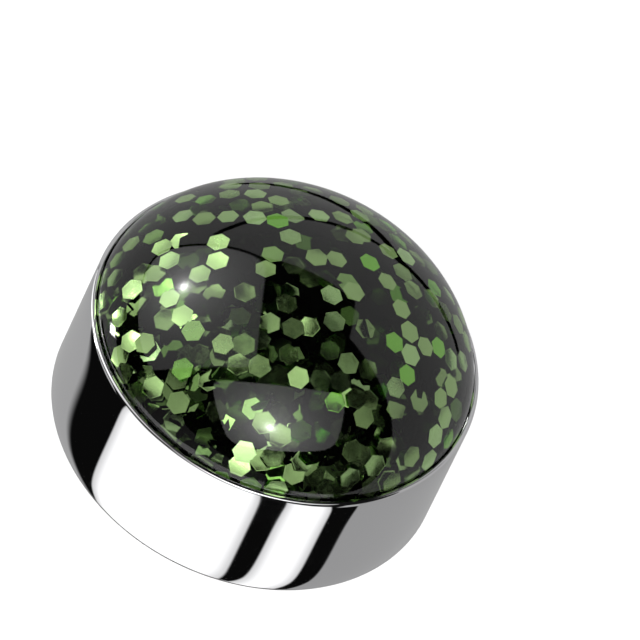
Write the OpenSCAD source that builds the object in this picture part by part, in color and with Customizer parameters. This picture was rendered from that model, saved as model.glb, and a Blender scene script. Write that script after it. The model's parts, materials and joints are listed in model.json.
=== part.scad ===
// Screw-on top of a dermal anchor: a turned steel cup with a threaded post on its flat back,
// filled with a clear resin dome over a black ground. It lies as it rests by itself, dome up,
// on the lowest point of its back edge and on the nose of its post.

/* [Cup] */
// Outside diameter of the steel cup
cup_d = 5; // [4:0.1:6]
// Height of the cup's wall, from its flat back to the rim
wall_h = 1.8; // [1.6:0.02:2.2]
// Thickness of the steel between the back and the recess
floor_t = 0.8; // [0.6:0.02:1]
// Width of the flat rim round the resin
rim_w = 0.07; // [0.06:0.01:0.2]
// Rounding of the edge between the wall and the back
back_round = 0.04; // [0.02:0.01:0.12]
// Rounding of the rim's outer edge
rim_round = 0.03; // [0.02:0.01:0.05]

/* [Threaded post] */
// Diameter of the plain shank next to the back
shank_d = 1.2; // [1:0.1:1.4]
// How much less the thread measures across its crests than the shank
crest_relief = 0.02; // [0.02:0.01:0.06]
// Height of a thread ridge above the core of the post
ridge_h = 0.1; // [0.06:0.01:0.14]
// Distance along the post from one ridge to the next
thread_pitch = 0.3; // [0.25:0.01:0.4]
// Length of the post, from the back to the tip of its nose
post_l = 1.9; // [1.7:0.05:2.2]
// Length of the plain shank next to the back
shank_l = 0.25; // [0.15:0.05:0.35]
// Length of the rounded nose
nose_l = 0.35; // [0.25:0.05:0.45]

/* [Resin] */
// Height of the dome above the rim
dome_h = 1.43; // [0.9:0.01:1.6]
// Fullness of the dome's shoulder: 2 makes its outline an ellipse, and less makes it leaner
dome_fullness = 1.62; // [1.5:0.02:2]
// Thickness of the black ground at the bottom of the recess
ground_t = 0.1; // [0.05:0.05:0.2]
// Gap between the resin and the inside of the cup's wall
seat_gap = 0.01; // [0.005:0.005:0.02]

/* [Hidden] */

// The round faces, drawn as arcs of this many sides
$fn = 120;
// Steps along the dome's outline and along each rounded edge
dome_steps = 28;
edge_steps = 6;
// Sides of the threaded part, rings for each turn of the thread, and rings along the nose
thread_sides = 36;
turn_rings = 8;
nose_rings = 8;
// Part of the nose's length at which its last ring lies, which closes it with a small flat
nose_end = 0.99;
// Length over which a ridge rises from the core, and how far the core reaches into the shank
fade_l = 0.15;
core_lap = 0.05;

cup_r = cup_d / 2;
recess_r = cup_r - rim_w;
recess_floor = floor_t - wall_h;
fill_r = recess_r - seat_gap;
shank_r = shank_d / 2;
core_r = shank_r - crest_relief / 2 - ridge_h;
nose_start = post_l - nose_l;

// Points of an arc about a centre, from one angle to another
function arc(centre, r, from, to, steps) = [
    for (i = [0 : steps])
        let (a = from + (to - from) * i / steps)
            centre + r * [cos(a), sin(a)]
];

// Height of the dome's outline at a distance from its axis
function dome_z(r) = dome_h * pow(1 - pow(r / fill_r, 2), 1 / dome_fullness);

// The dome's outline, from its edge to its top, with even steps round the shoulder
dome_outline = [
    for (i = [0 : dome_steps])
        let (r = fill_r * cos(90 * i / dome_steps))
            i == dome_steps ? [0, dome_h] : [r, dome_z(r)]
];

// The outside of the cup's section, from the middle of the back to the rim
cup_outline = concat(
    [[0, -wall_h]],
    arc([cup_r - back_round, back_round - wall_h], back_round, -90, 0, edge_steps),
    arc([cup_r - rim_round, -rim_round], rim_round, 0, 90, edge_steps)
);

// The post's height is measured from the back towards its nose.
// Share of the full ridge, which rises past the shank and falls before the nose
function ridge_share(y) = max(0, min(1, (y - shank_l) / fade_l, (nose_start - y) / fade_l));

// Radius of the post at an angle and a height, along its right-hand thread and then its nose
function post_r(angle, y) = y > nose_start
    ? core_r * sqrt(1 - pow((y - nose_start) / nose_l, 2))
    : core_r + ridge_h * ridge_share(y) * (1 + cos(360 * y / thread_pitch + angle)) / 2;

function post_ring(y) = [
    for (i = [0 : thread_sides - 1])
        let (a = 360 * i / thread_sides, r = post_r(a, y))
            [r * cos(a), r * sin(a), -wall_h - y]
];

// The lean at which the floor touches the back's rounded edge and the nose at once.
// Each is a circle or an ellipse about a centre, so a few passes settle the nose's own reach.
edge_span = cup_r - back_round;
nose_span = nose_start + back_round;
function nose_reach(lean) = norm([core_r * sin(lean), nose_l * cos(lean)]);
function settled(lean, passes) = passes == 0 ? lean : settled(
    atan2(nose_span, edge_span)
        + asin((nose_reach(lean) - back_round) / norm([nose_span, edge_span])),
    passes - 1
);
lean = settled(40, 8);

// How low the leaning part reaches, and how far its outline goes to the front and the back
rest_height = edge_span * sin(lean) + (wall_h - back_round) * cos(lean) + back_round;
front_reach = max([for (p = concat(dome_outline, cup_outline)) p[0] * cos(lean) + p[1] * sin(lean)]);
back_reach = max([for (p = cup_outline) p[0] * cos(lean) - p[1] * sin(lean)]);

// Leans a piece that stands with the rim's middle at the origin, and sets it down on the floor
module at_rest() {
    translate([0, (front_reach - back_reach) / 2, rest_height])
        rotate([lean, 0, 0])
            children();
}

// The threaded part of the post with its nose, closed by a flat at each end
module threaded_core() {
    thread_l = nose_start - shank_l;
    thread_rings = ceil(turn_rings * thread_l / thread_pitch);
    heights = [
        shank_l - core_lap,
        for (i = [0 : thread_rings]) shank_l + thread_l * i / thread_rings,
        for (i = [1 : nose_rings]) nose_start + nose_l * sin(asin(nose_end) * i / nose_rings)
    ];
    last = len(heights) - 1;
    low_flat = [for (i = [thread_sides - 1 : -1 : 0]) i];
    end_flat = [for (i = [0 : thread_sides - 1]) last * thread_sides + i];
    skin = [
        for (k = [0 : last - 1], i = [0 : thread_sides - 1])
            let (low = k * thread_sides, high = low + thread_sides, next = (i + 1) % thread_sides)
                [low + i, low + next, high + next, high + i]
    ];
    polyhedron([for (y = heights) each post_ring(y)], concat([low_flat], skin, [end_flat]));
}

// Cup and post are one piece of polished steel
module steel_cup() {
    color("silver")
        at_rest() {
            rotate_extrude()
                polygon(concat(
                    cup_outline,
                    [[recess_r, 0], [recess_r, recess_floor], [0, recess_floor]]
                ));
            translate([0, 0, -wall_h - shank_l])
                cylinder(h = shank_l + floor_t / 2, r = shank_r);
            threaded_core();
        }
}

// Black coat on the bottom of the recess, under the glitter
module black_ground() {
    color("black")
        at_rest()
            translate([0, 0, recess_floor])
                cylinder(h = ground_t, r = fill_r);
}

// Clear resin that fills the recess and stands above the rim as a dome
module resin_dome() {
    color("yellowgreen", 0.5)
        at_rest()
            rotate_extrude()
                polygon(concat(
                    [[0, recess_floor + ground_t], [fill_r, recess_floor + ground_t]],
                    dome_outline
                ));
}

steel_cup();
black_ground();
resin_dome();
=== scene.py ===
"""Looks of a dermal anchor's top.

A polished steel cup with a threaded post is filled with a clear resin dome full of green glitter. It lies as
it rests by itself, in a small studio of cards and soft boxes.
"""

import json
import logging
import math
from collections.abc import Iterable
from dataclasses import dataclass, field
from enum import Enum
from typing import Any

import bpy
from mathutils import Matrix, Vector


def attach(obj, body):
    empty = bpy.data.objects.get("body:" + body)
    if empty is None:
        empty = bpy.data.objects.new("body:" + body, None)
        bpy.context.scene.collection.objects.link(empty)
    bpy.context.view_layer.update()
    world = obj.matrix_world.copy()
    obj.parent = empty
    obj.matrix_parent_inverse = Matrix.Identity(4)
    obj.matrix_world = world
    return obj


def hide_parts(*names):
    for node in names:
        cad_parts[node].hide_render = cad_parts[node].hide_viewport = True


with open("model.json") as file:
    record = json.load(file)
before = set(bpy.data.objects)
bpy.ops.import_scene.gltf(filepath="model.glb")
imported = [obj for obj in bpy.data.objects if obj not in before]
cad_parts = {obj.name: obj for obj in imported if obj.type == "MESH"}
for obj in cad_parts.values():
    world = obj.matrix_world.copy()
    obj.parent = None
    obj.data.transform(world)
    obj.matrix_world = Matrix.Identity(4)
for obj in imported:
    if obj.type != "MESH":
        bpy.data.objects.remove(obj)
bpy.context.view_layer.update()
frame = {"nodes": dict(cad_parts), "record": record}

log = logging.getLogger("dermal_top")

MM = 0.001
BODY = "root"

Piece = bpy.types.Object
Mesh = bpy.types.Mesh
Material = bpy.types.Material
Socket = bpy.types.NodeSocket
Inputs = dict[str | int, Any]
Pair = tuple[float, float]
Point = tuple[float, float]
Place = tuple[float, float, float]
Colour = tuple[float, float, float]

# Kinds of a node tree's inputs by the types of their values, where all others are materials
KINDS = {int: "Int", float: "Float", tuple: "Vector"}


class Slot(Enum):
    """The record's material slots."""

    STEEL = "polished_steel"
    COAT = "black_coat"
    RESIN = "clear_resin"
    GLITTER = "green_glitter"


class Mark(Enum):
    """Attributes that the node trees write and the materials read."""

    RIDGE = "ridge_share"
    TURNING = "turning"
    TINT = "tint"
    # How dark a flake is painted, as painted shade
    PAINTED_SHADE = "painted_shade"


class Draw(Enum):
    """What is drawn by lot for each flake, with what it adds to the layer's seed."""

    SORT = 2
    LEAN = 3
    CROSS_LEAN = 4
    SPIN = 5
    SIZE = 6
    TINT = 8
    # How dark painted shade makes a wild flake
    PAINTED_SHADE = 9


class Graph:
    """A shader or geometry node tree, with short ways to add nodes and link them."""

    def __init__(self, tree: bpy.types.NodeTree) -> None:
        """Start the tree afresh."""
        self.tree = tree
        tree.nodes.clear()

    def add(self, kind: str, inputs: Inputs | None = None, **settings: Any) -> bpy.types.Node:
        """Add a node.

        Args:
            kind: The node's type.
            inputs: A value, or a socket to link, for each input's name or number.
            settings: The node's own properties, such as its operation.

        Returns:
            The new node.
        """
        node = self.tree.nodes.new(kind)
        for name, value in settings.items():
            setattr(node, name, value)
        for key, value in (inputs or {}).items():
            socket = node.inputs[key] if isinstance(key, int) else next(
                s for s in node.inputs if s.name == key and s.enabled)
            if isinstance(value, Socket):
                self.tree.links.new(value, socket)
            else:
                socket.default_value = value
        return node

    def out(self, kind: str, inputs: Inputs | None = None, **settings: Any) -> Socket:
        """Add a node and give its first live output. See add for the arguments."""
        node = self.add(kind, inputs, **settings)
        return next(s for s in node.outputs if s.enabled)

    def math(self, operation: str, *values: Any) -> Socket:
        """Work out one number from values or sockets, by Blender's name of the operation."""
        return self.out("ShaderNodeMath", dict(enumerate(values)), operation=operation)

    def vector(self, operation: str, *values: Any) -> Socket:
        """Work out one vector, or the number that a dot product or a length gives."""
        node = self.add("ShaderNodeVectorMath", dict(enumerate(values)), operation=operation)
        return node.outputs["Value" if operation in ("DOT_PRODUCT", "LENGTH") else "Vector"]

    def join(self, x: Any = 0.0, y: Any = 0.0, z: Any = 0.0) -> Socket:
        """Join three numbers to a vector."""
        return self.out("ShaderNodeCombineXYZ", {"X": x, "Y": y, "Z": z})

    def split(self, vector: Socket) -> tuple[Socket, Socket, Socket]:
        """Split a vector into its three numbers."""
        parts = self.add("ShaderNodeSeparateXYZ", {"Vector": vector}).outputs
        return parts["X"], parts["Y"], parts["Z"]

    def ramp(self, value: Any, start: float, end: float, low: float = 0.0, high: float = 1.0) -> Socket:
        """Rise smoothly from low to high as the value goes from start to end."""
        ends = {"Value": value, "From Min": start, "From Max": end, "To Min": low, "To Max": high}
        return self.out("ShaderNodeMapRange", ends, interpolation_type="SMOOTHSTEP")

    def blend(self, share: Any, first: Any, second: Any, kind: str = "FLOAT") -> Socket:
        """Blend two values of a kind, FLOAT or RGBA, by the second one's share."""
        return self.out("ShaderNodeMix", {"Factor": share, "A": first, "B": second}, data_type=kind)

    def mark(self, mark: Mark, output: str = "Fac") -> Socket:
        """Read one of the piece's own attributes in a material."""
        return self.add("ShaderNodeAttribute", attribute_name=mark.value).outputs[output]

    def place(self) -> Socket:
        """Read where a point of the piece lies, in a material."""
        return self.add("ShaderNodeTexCoord").outputs["Object"]

    def noise(self, place: Socket, scale: float, detail: float) -> Socket:
        """Read Blender's noise at a place."""
        return self.out("ShaderNodeTexNoise", {"Vector": place, "Scale": scale, "Detail": detail})

    def bump(self, height: Socket, distance: float, strength: float = 1.0,
             under: Socket | None = None) -> Socket:
        """Turn a height into bumps in the shading.

        Args:
            height: The height, where 1 stands for the distance.
            distance: Height of a full bump, in metres.
            strength: How much of it shows.
            under: Bumps that these lie on.

        Returns:
            The bumpy surface's direction.
        """
        inputs: Inputs = {"Strength": strength, "Distance": distance, "Height": height}
        if under:
            inputs["Normal"] = under
        return self.out("ShaderNodeBump", inputs)


@dataclass(frozen=True)
class Rest:
    """How the part lies: its dome's axis, and the middle of its rim, in metres."""

    axis: Vector
    rim_middle: Vector

    @classmethod
    def from_record(cls, record: dict[str, Any], below_rim: float) -> "Rest":
        """Read the place from the mount on the post.

        Args:
            record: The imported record.
            below_rim: Distance from the rim to the middle of that mount, in millimetres.

        Returns:
            The place.
        """
        mount = next(m for m in record["mounts"] if m["name"] == "thread_post")
        axis = -Vector(mount["axis"]).normalized()
        return cls(axis, Vector(mount["pos_m"]) + axis * below_rim * MM)

    def matrix(self) -> Matrix:
        """Matrix that lays down the upright part, drawn in millimetres about its rim's middle."""
        lean = Vector((0, 0, 1)).rotation_difference(self.axis).to_matrix().to_4x4()
        return Matrix.Translation(self.rim_middle) @ lean @ Matrix.Scale(MM, 4)


def put(name: str, data: bpy.types.ID) -> Piece:
    """Make an object and put it in the scene.

    Args:
        name: The object's name.
        data: Its mesh, lamp or camera.

    Returns:
        The object.
    """
    made = bpy.data.objects.new(name, data)
    bpy.context.scene.collection.objects.link(made)
    return made


@dataclass
class Tree:
    """A geometry node tree with named inputs, which is run once to give a plain mesh."""

    name: str
    inputs: dict[str, Any]
    identifiers: dict[str, str] = field(default_factory=dict)

    def start(self) -> tuple[Graph, Any]:
        """Make the tree's interface.

        Returns:
            The empty graph, and its inputs by their names.
        """
        tree = bpy.data.node_groups.new(self.name, "GeometryNodeTree")
        for way in ("INPUT", "OUTPUT"):
            tree.interface.new_socket(name="Geometry", in_out=way, socket_type="NodeSocketGeometry")
        for name, value in self.inputs.items():
            kind = KINDS.get(type(value), "Material")
            socket = tree.interface.new_socket(name=name, in_out="INPUT", socket_type=f"NodeSocket{kind}")
            self.identifiers[name] = socket.identifier
        graph = Graph(tree)
        return graph, graph.add("NodeGroupInput").outputs

    def end(self, graph: Graph, geometry: Socket, material: Socket) -> None:
        """Finish the tree with real geometry and its material.

        Args:
            graph: The tree's graph.
            geometry: What it has made.
            material: The input that holds the material.
        """
        real = graph.out("GeometryNodeRealizeInstances", {"Geometry": geometry})
        dressed = graph.out("GeometryNodeSetMaterial", {"Geometry": real, "Material": material})
        graph.add("NodeGroupOutput", {"Geometry": dressed})

    def run(self, graph: Graph, base: Mesh, name: str, place: Matrix) -> Piece:
        """Run the tree on a mesh and keep the result as a plain piece.

        Args:
            graph: The finished tree's graph.
            base: The mesh that the tree starts from.
            name: The piece's name.
            place: Matrix that takes the result to its place, which goes into the mesh.

        Returns:
            The piece, at the origin.
        """
        maker = put(f"{name}_maker", base)
        modifier = maker.modifiers.new(self.name, "NODES")
        modifier.node_group = graph.tree
        for key, value in self.inputs.items():
            modifier[self.identifiers[key]] = value
        seen = maker.evaluated_get(bpy.context.evaluated_depsgraph_get())
        mesh = bpy.data.meshes.new_from_object(seen)
        maker.modifiers.remove(modifier)
        bpy.data.objects.remove(maker)
        mesh.name = name
        mesh.transform(place)
        return put(name, mesh)


def line_mesh(name: str, points: Iterable[Point], shares: Iterable[float] | None = None) -> Mesh:
    """Make a profile's points into a mesh of bare points.

    Args:
        name: The mesh's name.
        points: Distance from the axis and height of each point, in millimetres.
        shares: Share of a full thread ridge at each point.

    Returns:
        The mesh.
    """
    mesh = bpy.data.meshes.new(name)
    mesh.from_pydata([(r, 0, z) for r, z in points], [], [])
    marks = mesh.attributes.new(Mark.RIDGE.value, "FLOAT", "POINT")
    marks.data.foreach_set("value", list(shares) if shares else [0.0] * len(mesh.vertices))
    return mesh


@dataclass
class Lathe:
    """Turns a profile about its axis, and cuts a right-hand thread where the profile asks for one."""

    segments: int
    material: Material | None
    pitch: float = 1.0
    ridge_h: float = 0.0
    post_top: float = 0.0
    merge: float = 0.00002

    def turn(self, profile: Mesh, name: str, place: Matrix) -> Piece:
        """Turn a profile into a closed, smooth piece.

        Args:
            profile: The profile's points, from one end to the other.
            name: The piece's name.
            place: Where the piece goes.

        Returns:
            The piece.
        """
        tree = Tree(f"{name}_lathe", {
            "Segments": self.segments, "Pitch": self.pitch, "Ridge height": self.ridge_h,
            "Post top": self.post_top, "Merge distance": self.merge, "Material": self.material})
        graph, ask = tree.start()
        source = ask["Geometry"]
        # A flat sheet with a row for each point of the profile, and one column more than segments
        rings = graph.out("GeometryNodeAttributeDomainSize", {"Geometry": source}, component="MESH")
        columns = graph.math("ADD", ask["Segments"], 1)
        sheet = graph.out("GeometryNodeMeshGrid", {
            "Size X": 1.0, "Size Y": 1.0, "Vertices X": columns, "Vertices Y": rings})
        index = graph.out("GeometryNodeInputIndex")
        ring = graph.math("MODULO", index, rings)
        column = graph.math("FLOOR", graph.math("DIVIDE", graph.math("ADD", index, 0.5), rings))
        turned = graph.math("DIVIDE", column, ask["Segments"])
        angle = graph.math("MULTIPLY", turned, math.tau)
        # The profile's point for each row, and its share of a ridge
        spot = graph.out("GeometryNodeSampleIndex", {
            "Geometry": source, "Value": graph.out("GeometryNodeInputPosition"), "Index": ring},
            data_type="FLOAT_VECTOR", domain="POINT")
        across, _, level = graph.split(spot)
        mark = graph.out("GeometryNodeInputNamedAttribute", {"Name": Mark.RIDGE.value}, data_type="FLOAT")
        share = graph.out("GeometryNodeSampleIndex", {
            "Geometry": source, "Value": mark, "Index": ring}, data_type="FLOAT", domain="POINT")
        # The thread's ridge, one wave for each pitch along the post
        turns = graph.math("DIVIDE", graph.math("SUBTRACT", ask["Post top"], level), ask["Pitch"])
        wave = graph.math("COSINE", graph.math("ADD", graph.math("MULTIPLY", turns, math.tau), angle))
        height = graph.math("MULTIPLY", ask["Ridge height"], share)
        ridge = graph.math("MULTIPLY", height, graph.math("MULTIPLY_ADD", wave, 0.5, 0.5))
        radius = graph.math("ADD", across, ridge)
        wrapped = graph.join(
            graph.math("MULTIPLY", radius, graph.math("COSINE", angle)),
            graph.math("MULTIPLY", radius, graph.math("SINE", angle)), level)
        marks = graph.out("GeometryNodeFieldOnDomain", {"Value": graph.join(turned, across, level)},
                          data_type="FLOAT_VECTOR", domain="POINT")
        marked = graph.out("GeometryNodeStoreNamedAttribute", {
            "Geometry": sheet, "Name": Mark.TURNING.value, "Value": marks},
            data_type="FLOAT_VECTOR", domain="CORNER")
        shaped = graph.out("GeometryNodeSetPosition", {"Geometry": marked, "Position": wrapped})
        closed = graph.out("GeometryNodeMergeByDistance", {
            "Geometry": shaped, "Distance": ask["Merge distance"]})
        smooth = graph.out("GeometryNodeSetShadeSmooth", {0: closed, "Shade Smooth": True})
        tree.end(graph, smooth, ask["Material"])
        return tree.run(graph, profile, name, place)


def arc(centre: Point, radius: float, start: float, end: float, steps: int) -> list[Point]:
    """Points of a round, ends included, with so many steps between two angles in degrees."""
    angles = [math.radians(start + (end - start) * i / steps) for i in range(steps + 1)]
    return [(centre[0] + radius * math.cos(a), centre[1] + radius * math.sin(a)) for a in angles]


def material(name: str) -> tuple[Material, Graph]:
    """Make an empty node material.

    Args:
        name: Its name.

    Returns:
        The material, and its graph.
    """
    made = bpy.data.materials.new(name)
    made.use_nodes = True
    return made, Graph(made.node_tree)


@dataclass(frozen=True)
class PolishedSteel:
    """Mirror-polished stainless steel with faint marks of the polishing wheel.

    At the wall's rim and back the polish leans over by a slope, which fades over a reach in millimetres.
    """

    colour: Colour = (0.79, 0.79, 0.80)
    smoothest: float = 0.02
    roughest: float = 0.05
    cloud_scale: float = 900.0
    cloud_ends: Pair = (0.35, 0.7)
    marks_per_mm: float = 55.0
    marks_around: float = 3.0
    mark_detail: float = 2.0
    mark_depth: float = 0.00000004
    rim_slope: float = 0.26
    rim_reach: float = 0.2
    back_slope: float = 0.33
    back_reach: float = 0.215

    def rolled(self, graph: Graph, height: Socket, wall_h: float) -> Socket:
        """Depth in millimetres by which the polish has rolled off the wall towards its ends.

        Args:
            graph: The material's graph.
            height: Height above the rim, in millimetres.
            wall_h: Height of the wall.

        Returns:
            The depth.
        """
        within = graph.math("MINIMUM", graph.math("MAXIMUM", height, -wall_h), 0.0)
        above_back = graph.math("ADD", within, wall_h)
        rim = graph.math("EXPONENT", graph.math("DIVIDE", within, self.rim_reach))
        back = graph.math("EXPONENT", graph.math("DIVIDE", above_back, -self.back_reach))
        rim = graph.math("MULTIPLY", rim, -self.rim_slope * self.rim_reach)
        return graph.math("MULTIPLY_ADD", back, -self.back_slope * self.back_reach, rim)

    def make(self, wall_h: float) -> Material:
        """Build the material.

        Args:
            wall_h: Height of the cup's wall, in millimetres.

        Returns:
            The material.
        """
        made, graph = material(Slot.STEEL.value)
        turned, across, level = graph.split(graph.mark(Mark.TURNING, "Vector"))
        spot = graph.join(graph.math("MULTIPLY", turned, self.marks_around), across, level)
        marks = graph.noise(spot, self.marks_per_mm, self.mark_detail)
        clouds = graph.noise(graph.place(), self.cloud_scale, detail=3.0)
        roughness = graph.ramp(clouds, *self.cloud_ends, self.smoothest, self.roughest)
        bump = graph.bump(marks, self.mark_depth)
        bump = graph.bump(self.rolled(graph, level, wall_h), MM, under=bump)
        shader = graph.out("ShaderNodeBsdfPrincipled", {
            "Base Color": (*self.colour, 1), "Metallic": 1.0, "Roughness": roughness, "Normal": bump})
        graph.add("ShaderNodeOutputMaterial", {"Surface": shader})
        return made


@dataclass(frozen=True)
class ClearResin:
    """Clear cast resin with a glossy, very slightly wavy skin, and black behind its side and bottom."""

    colour: Colour = (0.985, 1.0, 0.98)
    ior: float = 1.56
    wave_scale: float = 700.0
    wave_depth: float = 0.0000006
    haze_scale: float = 2500.0
    haze_ends: Pair = (0.4, 0.75)
    dullest: float = 0.012
    shadow: Colour = (0.93, 0.96, 0.92)
    backing: Colour = (0.003, 0.004, 0.003)
    backing_drop: float = 0.03

    def make(self) -> Material:
        """Build the material, which lets lamps through to the glitter.

        Returns:
            The material.
        """
        made, graph = material(Slot.RESIN.value)
        place = graph.place()
        bump = graph.bump(graph.noise(place, self.wave_scale, detail=1.0), self.wave_depth)
        haze = graph.noise(place, self.haze_scale, detail=2.0)
        roughness = graph.ramp(haze, *self.haze_ends, 0.0, self.dullest)
        glass = graph.out("ShaderNodeBsdfPrincipled", {
            "Base Color": (*self.colour, 1), "Roughness": roughness, "IOR": self.ior,
            "Transmission Weight": 1.0, "Normal": bump})
        clear = graph.out("ShaderNodeBsdfTransparent", {"Color": (*self.shadow, 1)})
        shadow = graph.add("ShaderNodeLightPath").outputs["Is Shadow Ray"]
        skin = graph.out("ShaderNodeMixShader", {0: shadow, 1: glass, 2: clear})
        backing = graph.out("ShaderNodeBsdfDiffuse", {"Color": (*self.backing, 1)})
        _, _, level = graph.split(graph.mark(Mark.TURNING, "Vector"))
        backed = graph.math("LESS_THAN", level, -self.backing_drop)
        shader = graph.out("ShaderNodeMixShader", {0: backed, 1: skin, 2: backing})
        graph.add("ShaderNodeOutputMaterial", {"Surface": shader})
        return made


@dataclass(frozen=True)
class BlackCoat:
    """Black coat with a little orange peel, whose tops are twice as pale."""

    colour: Colour = (0.006, 0.008, 0.006)
    roughness: float = 0.25
    peel_scale: float = 6000.0
    peel_depth: float = 0.000004
    peel_strength: float = 0.3

    def make(self) -> Material:
        """Build the material.

        Returns:
            The material.
        """
        made, graph = material(Slot.COAT.value)
        peel = graph.noise(graph.place(), self.peel_scale, detail=2.0)
        bump = graph.bump(peel, self.peel_depth, self.peel_strength)
        colour = graph.blend(peel, (*self.colour, 1), (*(2 * c for c in self.colour), 1), "RGBA")
        shader = graph.out("ShaderNodeBsdfPrincipled", {
            "Base Color": colour, "Roughness": self.roughness, "Normal": bump})
        graph.add("ShaderNodeOutputMaterial", {"Surface": shader})
        return made


@dataclass(frozen=True)
class GlitterFoil:
    """Metallic green foil, each flake of its own tint.

    The tint takes a flake from the deep green over the usual one to the pale one, and its painted shade
    darkens it towards the deep green and then to black.
    """

    deep: Colour = (0.25, 0.60, 0.09)
    usual: Colour = (0.36, 0.54, 0.21)
    pale: Colour = (0.5, 0.74, 0.33)
    usual_from: float = 0.25
    pale_from: float = 0.6
    lit_from: float = 0.6
    roughness: float = 0.08
    satin: float = 0.3
    satin_sorts: Pair = (0.7, 0.95)
    grain_scale: float = 9000.0
    grain_ends: Pair = (0.3, 0.7)
    grain_rough: float = 0.06
    grain_depth: float = 0.000002
    grain_strength: float = 0.25
    bend_scale: float = 2500.0
    bend: float = 0.00001

    def make(self) -> Material:
        """Build the material.

        Returns:
            The material.
        """
        made, graph = material(Slot.GLITTER.value)
        tint = graph.mark(Mark.TINT)
        painted_shade = graph.mark(Mark.PAINTED_SHADE)
        deep, usual, pale = ((*colour, 1) for colour in (self.deep, self.usual, self.pale))
        colour = graph.blend(graph.ramp(tint, 0.0, self.usual_from), deep, usual, "RGBA")
        colour = graph.blend(graph.ramp(tint, self.pale_from, 1.0), colour, pale, "RGBA")
        # Painted shade: a flake in painted shade turns towards the deep green, and then towards black
        colour = graph.blend(graph.ramp(painted_shade, 0.0, self.lit_from), deep, colour, "RGBA")
        colour = graph.blend(painted_shade, (0, 0, 0, 1), colour, "RGBA")
        place = graph.place()
        grain = graph.noise(place, self.grain_scale, detail=2.0)
        # The tint, spread out, also sorts the flakes by their finish
        spread = graph.math("MULTIPLY", tint, 1000.0)
        sort = graph.out("ShaderNodeTexWhiteNoise", {"W": spread}, noise_dimensions="1D")
        finish = graph.ramp(sort, *self.satin_sorts, self.roughness, self.satin)
        roughness = graph.math("ADD", finish, graph.ramp(grain, *self.grain_ends, 0.0, self.grain_rough))
        bump = graph.bump(grain, self.grain_depth, self.grain_strength)
        bump = graph.bump(graph.noise(place, self.bend_scale, detail=0.0), self.bend, under=bump)
        shader = graph.out("ShaderNodeBsdfPrincipled", {
            "Base Color": colour, "Metallic": 1.0, "Roughness": roughness, "Normal": bump})
        graph.add("ShaderNodeOutputMaterial", {"Surface": shader})
        return made


@dataclass(frozen=True)
class DomeShape:
    """The dome's outline, in millimetres above the rim."""

    radius: float = 2.42
    height: float = 1.43
    fullness: float = 1.62

    def at(self, radius: float) -> float:
        """Height of the outline at a distance from the axis."""
        return self.height * max(0.0, 1 - (radius / self.radius) ** 2) ** (1 / self.fullness)

    def outline(self, steps: int) -> list[Point]:
        """Points from the rim to the top, with so many even steps round the shoulder."""
        radii = [self.radius * math.cos(math.pi / 2 * i / steps) for i in range(steps)]
        return [(r, self.at(r)) for r in radii] + [(0.0, self.height)]


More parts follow.
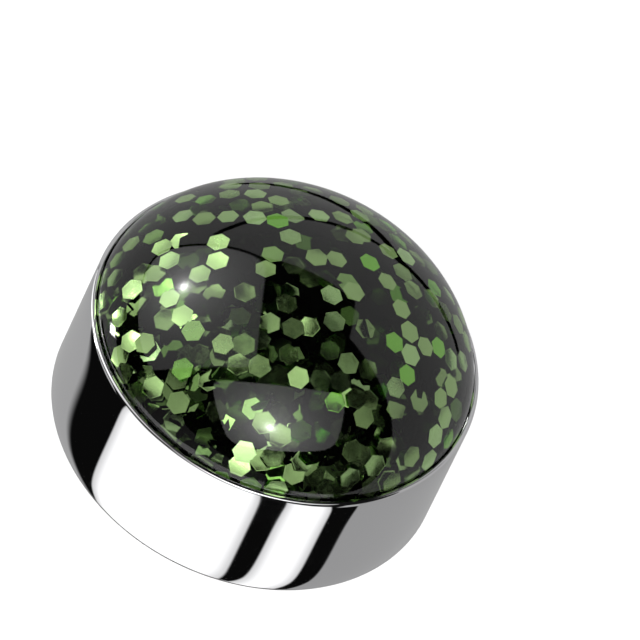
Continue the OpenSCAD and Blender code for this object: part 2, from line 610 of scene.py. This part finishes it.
@dataclass
class SteelCup:
    """The steel cup with its threaded post, one piece of metal, in millimetres.

    A round is a rounded edge's radius. A ring of points keeps a face straight, and is given by its distance
    from that face's end, or back_ring by its radius.
    """

    radius: float = 2.5
    wall_h: float = 1.8
    floor_t: float = 0.8
    rim_w: float = 0.07
    back_round: float = 0.06
    rim_round: float = 0.03
    bore_round: float = 0.03
    corner: float = 0.01
    shank_r: float = 0.6
    core_r: float = 0.49
    ridge_h: float = 0.1
    pitch: float = 0.3
    post_l: float = 1.9
    shank_l: float = 0.25
    nose_l: float = 0.35
    fade_l: float = 0.15
    root_round: float = 0.03
    floor_ring: float = 0.1
    edge_ring: float = 0.03
    back_ring: float = 1.2
    root_ring: float = 0.05
    shank_ring: float = 0.1
    thread_ring: float = 0.02
    segments: int = 256
    wall_steps: int = 12
    bore_steps: int = 5
    rim_steps: int = 10
    back_steps: int = 16
    root_steps: int = 6
    turn_rings: int = 14
    nose_rings: int = 16

    def ridge_share(self, drop: float) -> float:
        """Share of the full ridge at a distance below the back, which fades at the shank and at the nose."""
        nose = self.post_l - self.nose_l
        return max(0.0, min(1.0, (drop - self.shank_l) / self.fade_l, (nose - drop) / self.fade_l))

    def cup_points(self) -> list[Point]:
        """The section from the middle of the recess, over the rim and down the wall, to the post's shank.

        Returns:
            The points.
        """
        floor, back = self.floor_t - self.wall_h, -self.wall_h
        recess = self.radius - self.rim_w
        rim_centre = (self.radius - self.rim_round, -self.rim_round)
        back_centre = (self.radius - self.back_round, back + self.back_round)
        points = [(0.0, floor), (recess - self.floor_ring, floor), (recess - self.corner, floor)]
        points += [(recess, floor + self.corner), (recess, -2 * self.bore_round)]
        points += arc((recess + self.bore_round, -self.bore_round), self.bore_round, 180, 90, self.bore_steps)
        points += arc(rim_centre, self.rim_round, 90, 0, self.rim_steps)
        top, bottom = rim_centre[1], back_centre[1]
        wall = [top + (bottom - top) * i / self.wall_steps for i in range(1, self.wall_steps)]
        points += [(self.radius, level) for level in wall]
        points += arc(back_centre, self.back_round, 0, -90, self.back_steps)
        root = (self.shank_r + self.root_round, back - self.root_round)
        rings = (back_centre[0] - self.edge_ring, self.back_ring, root[0] + self.root_ring)
        points += [(ring, back) for ring in rings]
        points += arc(root, self.root_round, 90, 180, self.root_steps)
        shank = (back - self.shank_ring, back - self.shank_l + self.thread_ring)
        return points + [(self.shank_r, level) for level in shank]

    def profile(self) -> tuple[list[Point], list[float]]:
        """The whole section, from the post's tip round to the middle of the recess.

        Returns:
            The points, and the share of a full ridge at each.
        """
        points = self.cup_points()
        back, nose = -self.wall_h, self.post_l - self.nose_l
        rings = round(self.turn_rings * (nose - self.shank_l) / self.pitch)
        drops = [self.shank_l + (nose - self.shank_l) * i / rings for i in range(rings + 1)]
        shares = [0.0] * len(points) + [self.ridge_share(drop) for drop in drops]
        points += [(self.core_r, back - drop) for drop in drops]
        for i in range(1, self.nose_rings + 1):
            angle = math.pi / 2 * i / self.nose_rings
            points.append((self.core_r * math.cos(angle), back - nose - self.nose_l * math.sin(angle)))
            shares.append(0.0)
        points[-1] = (0.0, points[-1][1])
        return points[::-1], shares[::-1]

    def build(self, rest: Rest) -> Piece:
        """Build and dress the cup.

        Args:
            rest: Where the part lies.

        Returns:
            The piece.
        """
        steel = PolishedSteel().make(self.wall_h)
        lathe = Lathe(self.segments, steel, self.pitch, self.ridge_h, -self.wall_h)
        piece = lathe.turn(line_mesh("cup_profile", *self.profile()), "polished_cup", rest.matrix())
        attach(piece, BODY)
        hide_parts("steel_cup")
        return piece


@dataclass
class Resin:
    """The clear resin that fills the cup and rises from it as a dome, in millimetres, from the rim up."""

    shape: DomeShape = field(default_factory=DomeShape)
    bottom: float = -0.895
    corner: float = 0.02
    corner_steps: int = 4
    bottom_ring: float = 0.1
    side_rings: tuple[float, ...] = (-0.4, -0.08, -0.02)
    dome_steps: int = 72
    segments: int = 256

    def build(self, rest: Rest) -> Piece:
        """Build and dress the resin.

        Args:
            rest: Where the part lies.

        Returns:
            The piece.
        """
        r = self.shape.radius
        foot = [(0.0, self.bottom), (r - self.bottom_ring, self.bottom)]
        foot += arc((r - self.corner, self.bottom + self.corner), self.corner, -90, 0, self.corner_steps)
        foot += [(r, level) for level in self.side_rings]
        profile = line_mesh("resin_profile", foot + self.shape.outline(self.dome_steps))
        piece = Lathe(self.segments, ClearResin().make()).turn(profile, "resin_fill", rest.matrix())
        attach(piece, BODY)
        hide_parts("resin_dome")
        return piece


@dataclass
class Ground:
    """The black ground at the bottom of the recess, which keeps its shape from the frame."""

    node: str = "black_ground"

    def dress(self) -> Piece:
        """Give the ground its coat.

        Returns:
            The piece.
        """
        piece = frame["nodes"][self.node]
        piece.data.materials.clear()
        piece.data.materials.append(BlackCoat().make())
        return piece


@dataclass
class Glitter:
    """Hexagonal flakes in layers under the dome's skin, in millimetres and degrees.

    Skin stands for the first layer, deep for the others. A share says how many of its places a layer fills,
    and a gain how much that changes towards the fuller side. Flakes lie flat, tilted or wildly, each by its
    tilt, and painted shade darkens them by the power of their fade: with depth, for the shadow of the flakes
    above, and for wild ones by lot, for the dark that they would mirror.
    """

    shape: DomeShape = field(default_factory=DomeShape)
    flake_w: float = 0.292
    flake_t: float = 0.005
    emboss: float = 0.0003
    border: float = 0.93
    sizes: Pair = (0.93, 1.04)
    layers: int = 7
    first_depth: float = 0.045
    layer_step: float = 0.08
    spacing: float = 0.25
    deep_spacing: float = 0.17
    most_per_mm2: float = 90.0
    skin_share: float = 0.8
    skin_gain: float = -0.5
    deep_share: float = 0.06
    side: Place = (0.05, 1.0, 0.0)
    side_start: float = -0.05
    side_gain: float = 1.1
    skin_flat: float = 0.7
    deep_flat: float = 0.35
    skin_wild: float = 0.3
    deep_wild: float = 0.5
    flat_tilt: float = 4.5
    usual_tilt: float = 10.0
    wild_tilt: float = 50.0
    settle: float = 0.35
    sink: float = 0.4
    clear_share: float = 0.8
    flat_fade: float = 2.0
    tilted_fade: float = 0.5
    wild_fade: float = 3.0
    margin: float = 0.035
    lowest: float = -0.85
    seed: int = 22
    seed_step: float = 17.0
    skirt: Pair = (-0.2, -0.1)
    shell_steps: int = 40
    shell_segments: int = 96
    shell_merge: float = 0.0001

    def shell(self) -> Mesh:
        """Make the sheet that the layers follow: the dome's skin with a skirt below the rim.

        Returns:
            The mesh.
        """
        skirt = [(self.shape.radius, level) for level in self.skirt]
        profile = line_mesh("shell_profile", skirt + self.shape.outline(self.shell_steps))
        lathe = Lathe(self.shell_segments, None, merge=self.shell_merge)
        sheet = lathe.turn(profile, "glitter_shell", Matrix())
        mesh = sheet.data
        bpy.data.objects.remove(sheet)
        return mesh

    def flake(self, graph: Graph, ask: Any) -> Socket:
        """One thin hexagonal prism with an embossed border.

        Args:
            graph: The glitter's graph.
            ask: Its inputs.

        Returns:
            The flake's geometry.
        """
        blank = graph.add("GeometryNodeMeshCylinder", {
            "Vertices": 6, "Radius": graph.math("MULTIPLY", ask["Flake width"], 0.5),
            "Depth": ask["Flake thickness"]}).outputs
        raised = graph.add("GeometryNodeExtrudeMesh", {
            "Mesh": blank["Mesh"], "Selection": blank["Top"], "Offset Scale": ask["Emboss"],
            "Individual": False}, mode="FACES").outputs
        return graph.out("GeometryNodeScaleElements", {
            0: raised["Mesh"], "Selection": raised["Top"], "Scale": ask["Border"]}, domain="FACE")

    def lot(self, graph: Graph, seed: Socket, draw: Draw, low: float = 0.0, high: float = 1.0) -> Socket:
        """A number from low to high for each flake, drawn by lot."""
        ends = {"Min": low, "Max": high, "Seed": graph.math("ADD", seed, draw.value)}
        return graph.out("FunctionNodeRandomValue", ends, data_type="FLOAT")

    def scatter(self, graph: Graph, ask: Any, depth: Socket, deep: Socket, seed: Socket) -> Any:
        """Scatter one layer's points over the sheet, more of them on the fuller side.

        Args:
            graph: The glitter's graph.
            ask: Its inputs.
            depth: The layer's depth.
            deep: 0 for the first layer and 1 for the others.
            seed: The layer's seed.

        Returns:
            The outputs of the node that scatters them.
        """
        inwards = graph.out("GeometryNodeInputNormal")
        inwards = graph.vector("MULTIPLY", inwards, graph.math("MULTIPLY", depth, -1.0))
        sheet = graph.out("GeometryNodeSetPosition", {"Geometry": ask["Geometry"], "Offset": inwards})
        aside = graph.vector("DOT_PRODUCT", graph.out("GeometryNodeInputPosition"), ask["Side"])
        aside = graph.math("MULTIPLY_ADD", aside, 1 / self.shape.radius, ask["Side start"])
        aside = graph.math("MAXIMUM", aside, 0.0)
        skin = graph.math("MULTIPLY_ADD", aside, ask["Skin gain"], ask["Skin share"])
        share = graph.math("MULTIPLY_ADD", aside, ask["Side gain"], ask["Deep share"])
        share = graph.math("MINIMUM", graph.blend(deep, skin, share), 1.0)
        spacing = graph.blend(deep, ask["Spacing"], ask["Deep spacing"])
        return graph.add("GeometryNodeDistributePointsOnFaces", {
            "Mesh": sheet, "Distance Min": spacing, "Density Max": ask["Most per square millimetre"],
            "Density Factor": share, "Seed": seed}, distribute_method="POISSON").outputs

    def sunk(self, graph: Graph, ask: Any, spots: Any, depth: Socket, tilt: Socket) -> Socket:
        """Sink the points of tilted flakes a little, and drop those that are too near the skin.

        Args:
            graph: The glitter's graph.
            ask: Its inputs.
            spots: The layer's points.
            depth: The layer's depth.
            tilt: Most that each flake is tilted, in degrees.

        Returns:
            The points.
        """
        drop = graph.math("MULTIPLY", tilt, math.radians(self.sink))
        drop = graph.math("MULTIPLY", drop, ask["Flake width"])
        down = graph.vector("MULTIPLY", spots["Normal"], graph.math("MULTIPLY", drop, -1.0))
        points = graph.out("GeometryNodeSetPosition", {"Geometry": spots["Points"], "Offset": down})
        cover = graph.add("GeometryNodeProximity", {0: ask["Geometry"]}, target_element="FACES")
        least = graph.math("MULTIPLY", depth, self.clear_share)
        near = graph.math("LESS_THAN", cover.outputs["Distance"], least)
        return graph.out("GeometryNodeDeleteGeometry", {
            "Geometry": points, "Selection": near}, domain="POINT")

    def turned(self, graph: Graph, ask: Any, spots: Any, deep: Socket, tilt: Socket, seed: Socket) -> Socket:
        """Turn each flake along the sheet, settle the deep ones towards level, and tilt and spin all by lot.

        Args:
            graph: The glitter's graph.
            ask: Its inputs.
            spots: The layer's points.
            deep: 0 for the first layer and 1 for the others.
            tilt: Most that each flake is tilted, in degrees.
            seed: The layer's seed.

        Returns:
            The flakes' rotations.
        """
        upright = graph.join(z=graph.math("MULTIPLY", deep, ask["Settle"]))
        turned = graph.out("FunctionNodeAlignRotationToVector", {
            "Rotation": spots["Rotation"],
            "Vector": graph.vector("ADD", spots["Normal"], upright)}, axis="Z")
        lean, cross = (
            graph.math("MULTIPLY", graph.math("RADIANS", tilt), self.lot(graph, seed, draw, -1.0, 1.0))
            for draw in (Draw.LEAN, Draw.CROSS_LEAN))
        spin = self.lot(graph, seed, Draw.SPIN, 0.0, math.tau)
        for angles in (graph.join(lean, cross), graph.join(z=spin)):
            step = graph.out("FunctionNodeEulerToRotation", {"Euler": angles})
            turned = graph.out("FunctionNodeRotateRotation", {
                "Rotation": turned, "Rotate By": step}, rotation_space="LOCAL")
        return turned

    def layer(self, graph: Graph, ask: Any, number: Socket, flake: Socket) -> Socket:
        """One layer of flakes.

        Args:
            graph: The glitter's graph.
            ask: Its inputs.
            number: The layer's number, from 0 at the skin.
            flake: The flake's geometry.

        Returns:
            The layer's instances.
        """
        depth = graph.math("MULTIPLY_ADD", number, ask["Layer step"], ask["First depth"])
        seed = graph.math("MULTIPLY_ADD", number, self.seed_step, ask["Seed"])
        deep = graph.math("MINIMUM", number, 1.0)
        spots = self.scatter(graph, ask, depth, deep, seed)
        # A lot sorts the flakes into flat ones, tilted ones and, among these, wild ones
        sort = self.lot(graph, seed, Draw.SORT)
        tilted = graph.math("GREATER_THAN", sort, graph.blend(deep, ask["Skin flat"], ask["Deep flat"]))
        tame = graph.math("SUBTRACT", 1.0, graph.blend(deep, ask["Skin wild"], ask["Deep wild"]))
        wild = graph.math("GREATER_THAN", sort, tame)
        tilt = graph.blend(wild, graph.blend(tilted, ask["Flat tilt"], ask["Usual tilt"]), ask["Wild tilt"])
        flakes = graph.out("GeometryNodeInstanceOnPoints", {
            "Points": self.sunk(graph, ask, spots, depth, tilt),
            "Instance": flake,
            "Rotation": self.turned(graph, ask, spots, deep, tilt, seed),
            "Scale": self.lot(graph, seed, Draw.SIZE, *self.sizes)})
        # Painted shade: deeper flakes are painted darker for the shadow of the flakes and resin above them,
        # and most wild ones are painted nearly black for the dark that they would mirror; a painted shade of
        # 0 is black
        left = graph.math("SUBTRACT", 1.0, graph.math("DIVIDE", number, ask["Layers"]))
        painted_shade = graph.blend(tilted, graph.math("POWER", left, self.flat_fade),
                            graph.math("POWER", left, self.tilted_fade))
        dark = graph.math("POWER", self.lot(graph, seed, Draw.PAINTED_SHADE), self.wild_fade)
        painted_shade = graph.blend(wild, painted_shade, dark)
        for mark, value in ((Mark.TINT, self.lot(graph, seed, Draw.TINT)), (Mark.PAINTED_SHADE, painted_shade)):
            flakes = graph.out("GeometryNodeStoreNamedAttribute", {
                "Geometry": flakes, "Name": mark.value, "Value": value}, data_type="FLOAT", domain="INSTANCE")
        return flakes

    def kept_inside(self, graph: Graph, flakes: Socket) -> Socket:
        """Bend whatever would stick out of the resin back under its skin.

        Args:
            graph: The glitter's graph.
            flakes: The flakes' geometry.

        Returns:
            The flakes' geometry.
        """
        real = graph.out("GeometryNodeRealizeInstances", {"Geometry": flakes})
        x, y, z = graph.split(graph.out("GeometryNodeInputPosition"))
        flat = graph.join(x, y)
        # The distance from the axis, never quite 0, because it divides
        away = graph.math("MAXIMUM", graph.vector("LENGTH", flat), 0.001)
        kept = graph.math("MINIMUM", away, self.shape.radius - self.margin)
        flat = graph.vector("MULTIPLY", flat, graph.math("DIVIDE", kept, away))
        share = graph.math("POWER", graph.math("DIVIDE", kept, self.shape.radius), 2.0)
        skin = graph.math("POWER", graph.math("SUBTRACT", 1.0, share), 1 / self.shape.fullness)
        cap = graph.math("MULTIPLY_ADD", skin, self.shape.height, -self.margin)
        level = graph.math("MAXIMUM", graph.math("MINIMUM", z, cap), self.lowest)
        place = graph.vector("ADD", flat, graph.join(z=level))
        return graph.out("GeometryNodeSetPosition", {"Geometry": real, "Position": place})

    def build(self, rest: Rest) -> Piece:
        """Build and dress the glitter.

        Args:
            rest: Where the part lies.

        Returns:
            The piece.
        """
        tree = Tree("glitter_layers", {
            "Flake width": self.flake_w, "Flake thickness": self.flake_t, "Emboss": self.emboss,
            "Border": self.border, "Layers": self.layers, "First depth": self.first_depth,
            "Layer step": self.layer_step, "Spacing": self.spacing, "Deep spacing": self.deep_spacing,
            "Most per square millimetre": self.most_per_mm2,
            "Skin share": self.skin_share, "Skin gain": self.skin_gain, "Deep share": self.deep_share,
            "Side": self.side, "Side start": self.side_start, "Side gain": self.side_gain,
            "Skin flat": self.skin_flat, "Deep flat": self.deep_flat, "Skin wild": self.skin_wild,
            "Deep wild": self.deep_wild, "Flat tilt": self.flat_tilt, "Usual tilt": self.usual_tilt,
            "Wild tilt": self.wild_tilt, "Settle": self.settle, "Seed": self.seed,
            "Material": GlitterFoil().make()})
        graph, ask = tree.start()
        flake = self.flake(graph, ask)
        first = graph.add("GeometryNodeRepeatInput")
        last = graph.add("GeometryNodeRepeatOutput")
        first.pair_with_output(last)
        graph.tree.links.new(ask["Layers"], first.inputs["Iterations"])
        layer = self.layer(graph, ask, first.outputs["Iteration"], flake)
        joined = graph.add("GeometryNodeJoinGeometry")
        graph.tree.links.new(first.outputs["Geometry"], joined.inputs[0])
        graph.tree.links.new(layer, joined.inputs[0])
        graph.tree.links.new(joined.outputs[0], last.inputs["Geometry"])
        tree.end(graph, self.kept_inside(graph, last.outputs["Geometry"]), ask["Material"])
        piece = tree.run(graph, self.shell(), "green_flakes", rest.matrix())
        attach(piece, BODY)
        return piece


def heading(azimuth: float, elevation: float) -> Vector:
    """Direction from the part, by its azimuth and elevation in degrees, with azimuth 0 in front."""
    turn, rise = math.radians(azimuth), math.radians(elevation)
    return Vector((math.sin(turn) * math.cos(rise), -math.cos(turn) * math.cos(rise), math.sin(rise)))


@dataclass(frozen=True)
class Card:
    """A flat card in the studio, lit or black, as the part sees it.

    Attributes:
        sides: Its straight edges, each by the azimuth and elevation that its plane through the part faces.
        level: How bright it is.
        soft: Width of its edges' blur.
        bend: How far its corners are rounded off.
        border: Width of the black frame round it.
        lamp: Azimuth and elevation of the lamp that shines through it.
        glow: How much brighter that lamp makes the card round itself.
        glow_core: Width of that glow.
        spark: How bright the lamp itself is.
        spark_core: Width of the lamp.
        lamp_fade: Power by which its light and its glow fade past their widths.
        shaded: How many of the sides, from the first on, have the card fall off towards them.
        shade_w: Width of that fall.
        edge_share: Share of the brightness that is left at the edge.
    """

    sides: tuple[Pair, ...]
    level: float
    soft: float = 0.01
    bend: float = 0.0
    border: float = 0.0
    lamp: Pair | None = None
    glow: float = 0.0
    glow_core: float = 0.4
    spark: float = 0.0
    spark_core: float = 0.035
    lamp_fade: float = -1.5
    shaded: int = 0
    shade_w: float = 0.085
    edge_share: float = 0.62

    def paint(self, graph: Graph, direction: Socket, behind: Any) -> Socket:
        """Paint the card over what is behind it.

        Args:
            graph: The world's graph.
            direction: The direction that a ray leaves in.
            behind: How bright it is behind the card.

        Returns:
            How bright it is with the card.
        """
        # How far inside the card the direction is, which starts past any edge's reach
        inside: Any = 2.0
        level: Any = self.level
        for number, side in enumerate(self.sides, 1):
            ahead = graph.vector("DOT_PRODUCT", direction, heading(*side))
            inside = graph.math("SMOOTH_MIN", inside, ahead, self.bend)
            if number == self.shaded:
                level = graph.ramp(inside, 0.0, self.shade_w, self.edge_share * self.level, self.level)
        if self.border:
            behind = graph.blend(graph.ramp(inside, -self.border - self.soft, -self.border), behind, 0.0)
        if self.lamp:
            near = graph.vector("DOT_PRODUCT", direction, heading(*self.lamp))
            # The square of the distance from the lamp, on a sphere of radius 1
            away = graph.math("MULTIPLY_ADD", near, -2.0, 2.0)
            for core, peak in ((self.spark_core, self.spark), (self.glow_core, self.glow)):
                fall = graph.math("MULTIPLY_ADD", away, 1 / core ** 2, 1.0)
                fall = graph.math("POWER", fall, self.lamp_fade)
                level = graph.math("MULTIPLY_ADD", fall, peak, level)
        return graph.blend(graph.ramp(inside, -self.soft, self.soft), behind, level)


@dataclass
class Studio:
    """The floor, the lamp, the cards and the camera round the part.

    The plain room is pale, and dark is what lies between the cards. Lengths are in metres, the lens and the
    sensor in millimetres, and angles in degrees.
    """

    rest: Rest
    pale: float = 1.5
    dark: float = 0.008
    floor_half: float = 2.0
    floor_drop: float = 0.00002
    floor_greys: Pair = (0.93, 0.95)
    floor_grain: float = 300.0
    lamp_w: float = 0.05
    lamp_power: float = 0.006
    lamp_place: Place = (0.03, 0.045, 0.07)
    camera_azimuth: float = 206.945
    camera_elevation: float = 87.573
    lens: float = 900.0
    sensor: float = 36.0
    pixels: int = 640
    pixels_per_mm: float = 81.12
    rim_pixel: Point = (285.7, 342.3)

    def cards(self) -> list[Card]:
        """Name the cards, from the furthest back to the nearest.

        Returns:
            The cards.
        """
        return [
            # The pale ground in front, which the dome mirrors
            Card(((-54.3, -45.7), (112.0, 0.0)), 0.42),
            Card(((-11.3, -80.0),), 0.5),
            Card(((-17.1, -63.6), (-99.1, -25.6)), 0.47),
            # Thin dark seams in it
            Card(((-44.5, 51.3), (132.6, -52.8), (63.0, 14.2), (-59.1, -37.2)), 0.0),
            Card(((51.5, 28.9), (-126.3, -31.8), (108.7, -43.6), (-43.1, 9.6)), 0.0),
            Card(((-54.6, 47.9), (123.3, -51.1), (40.2, 5.0), (-115.2, -23.4)), 0.0),
            # Black behind the part, which the wall mirrors
            Card(((155.3, 21.9), (173.6, 23.6), (-139.3, -41.9), (-139.6, -63.5), (-180.0, -74.2),
                  (142.8, -63.4), (139.3, -41.9)), 0.0035, soft=0.012),
            # Pale ground on both sides of the black, brighter round a lamp on the second
            Card(((90.0, 0.0), (180.0, -23.2), (-144.8, -44.1), (-23.4, -37.2)), 0.42, soft=0.065),
            Card(((-90.0, 0.0), (180.0, -23.2), (147.2, -44.8), (-24.7, -21.9)), 0.36, soft=0.015,
                 lamp=(0.0, -40.2), glow=0.2, glow_core=0.6),
            # A wide white card in the black, over a dim one, and a narrow white card
            Card(((-140.6, 15.4), (110.5, 8.2), (163.0, -46.0)), 0.15),
            Card(((-140.6, 15.4), (110.1, 7.8), (-142.5, -54.0), (-180.0, -66.5), (158.5, 31.1)), 1.35,
                 shaded=2),
            Card(((141.9, 17.4), (-58.8, -15.6), (-166.5, 26.8), (140.8, -50.1), (142.7, -55.5)), 1.35,
                 shaded=2),
            # A dark gap that the back's edge mirrors
            Card(((-44.4, -31.7), (-104.6, -8.6), (180.0, 5.2), (111.8, -4.2), (44.4, -31.7)), 0.0,
                 soft=0.015),
            # A small window low on the left
            Card(((9.6, -0.6), (-175.0, -0.6), (97.3, 75.7), (-82.7, -84.1)), 20.0, soft=0.012, bend=0.03),
            # Soft boxes above
            Card(((-22.9, 45.7), (108.8, 1.1), (128.7, 61.3), (28.9, -23.6)), 0.4, bend=0.18, border=0.018,
                 lamp=(52.1, 18.7), glow=1.7, spark=30.0),
            Card(((-60.2, 18.0), (106.4, 45.0), (-153.5, 15.7), (26.5, 26.9)), 0.4, bend=0.18, border=0.018,
                 lamp=(-111.1, 76.8), glow=2.5, spark=30.0),
        ]

    def world(self) -> None:
        """Light the part: a plain pale room, in which mirrors and glass see the cards."""
        world = bpy.data.worlds.new("studio")
        bpy.context.scene.world = world
        world.use_nodes = True
        world.cycles.sampling_method = "NONE"
        graph = Graph(world.node_tree)
        direction = graph.vector("NORMALIZE", graph.add("ShaderNodeTexCoord").outputs["Generated"])
        level: Any = self.dark
        for card in self.cards():
            level = card.paint(graph, direction, level)
        rays = graph.add("ShaderNodeLightPath").outputs
        plain = graph.math("MAXIMUM", rays["Is Camera Ray"], rays["Is Diffuse Ray"])
        strength = graph.blend(plain, level, self.pale)
        background = graph.out("ShaderNodeBackground", {"Color": (1, 1, 1, 1), "Strength": strength})
        graph.add("ShaderNodeOutputWorld", {"Surface": background})

    def floor(self) -> None:
        """Lay the plain pale floor, which mirrors don't see."""
        made, graph = material("studio_floor")
        grain = graph.noise(graph.place(), self.floor_grain, detail=4.0)
        dark, pale = ((grey, grey, grey, 1) for grey in self.floor_greys)
        shader = graph.out("ShaderNodeBsdfDiffuse", {"Color": graph.blend(grain, dark, pale, "RGBA")})
        graph.add("ShaderNodeOutputMaterial", {"Surface": shader})
        mesh = bpy.data.meshes.new("studio_floor")
        corners = ((-1, -1), (1, -1), (1, 1), (-1, 1))
        corners = [(x * self.floor_half, y * self.floor_half, -self.floor_drop) for x, y in corners]
        mesh.from_pydata(corners, [], [(0, 1, 2, 3)])
        mesh.materials.append(made)
        ground = put("studio_floor", mesh)
        ground.visible_glossy = False
        ground.visible_transmission = False

    def lamp(self) -> None:
        """Hang a large soft lamp that gives the part a faint shadow."""
        data = bpy.data.lights.new("soft_lamp", "AREA")
        data.shape = "DISK"
        data.size = self.lamp_w
        data.energy = self.lamp_power
        lamp = put("soft_lamp", data)
        lamp.location = self.lamp_place
        lamp.rotation_euler = (-lamp.location).to_track_quat("-Z", "Y").to_euler()
        lamp.visible_glossy = False
        lamp.visible_transmission = False
        lamp.visible_camera = False

    def camera(self) -> None:
        """Set the camera at the photograph's angle, with the rim's middle where the photograph has it."""
        back = heading(self.camera_azimuth, self.camera_elevation)
        turn = math.radians(self.camera_azimuth)
        right = Vector((math.cos(turn), math.sin(turn), 0))
        up = back.cross(right)
        middle = self.pixels / 2
        aside = (middle - self.rim_pixel[0]) / self.pixels_per_mm * MM
        above = (self.rim_pixel[1] - middle) / self.pixels_per_mm * MM
        aim = self.rest.rim_middle + right * aside + up * above
        distance = self.lens / self.sensor * self.pixels / self.pixels_per_mm * MM
        data = bpy.data.cameras.new("camera")
        data.lens = self.lens
        data.sensor_width = self.sensor
        data.clip_start, data.clip_end = distance / 50, distance * 20
        camera = put("camera", data)
        facing = Matrix((right, up, back)).transposed().to_4x4()
        camera.matrix_world = Matrix.Translation(aim + back * distance) @ facing
        bpy.context.scene.camera = camera

    def build(self) -> None:
        """Set up the whole studio, with enough bounces for light to go through resin, flakes and steel."""
        self.world()
        self.floor()
        self.lamp()
        self.camera()
        view = bpy.context.scene.view_settings
        view.view_transform = "Standard"
        view.look = "None"
        cycles = bpy.context.scene.cycles
        cycles.max_bounces = 24
        cycles.glossy_bounces = 12
        cycles.transmission_bounces = 16
        cycles.transparent_max_bounces = 24
        cycles.sample_clamp_indirect = 12.0
        cycles.use_denoising = True


def report(piece: Piece) -> None:
    """Log a piece's name and size.

    Args:
        piece: The finished piece.
    """
    piece.data.calc_loop_triangles()
    size = [round(side / MM, 2) for side in piece.dimensions]
    log.info("%s: %d triangles, %s mm", piece.name, len(piece.data.loop_triangles), size)


def main() -> None:
    """Build the part and its studio, and note how big the part has come out."""
    logging.basicConfig(level=logging.INFO, format="%(name)s %(message)s")
    cup = SteelCup()
    rest = Rest.from_record(frame["record"], cup.wall_h + cup.shank_l / 2)
    for piece in (cup.build(rest), Ground().dress(), Resin().build(rest), Glitter().build(rest)):
        report(piece)
    Studio(rest).build()


if __name__ == "__main__":
    main()
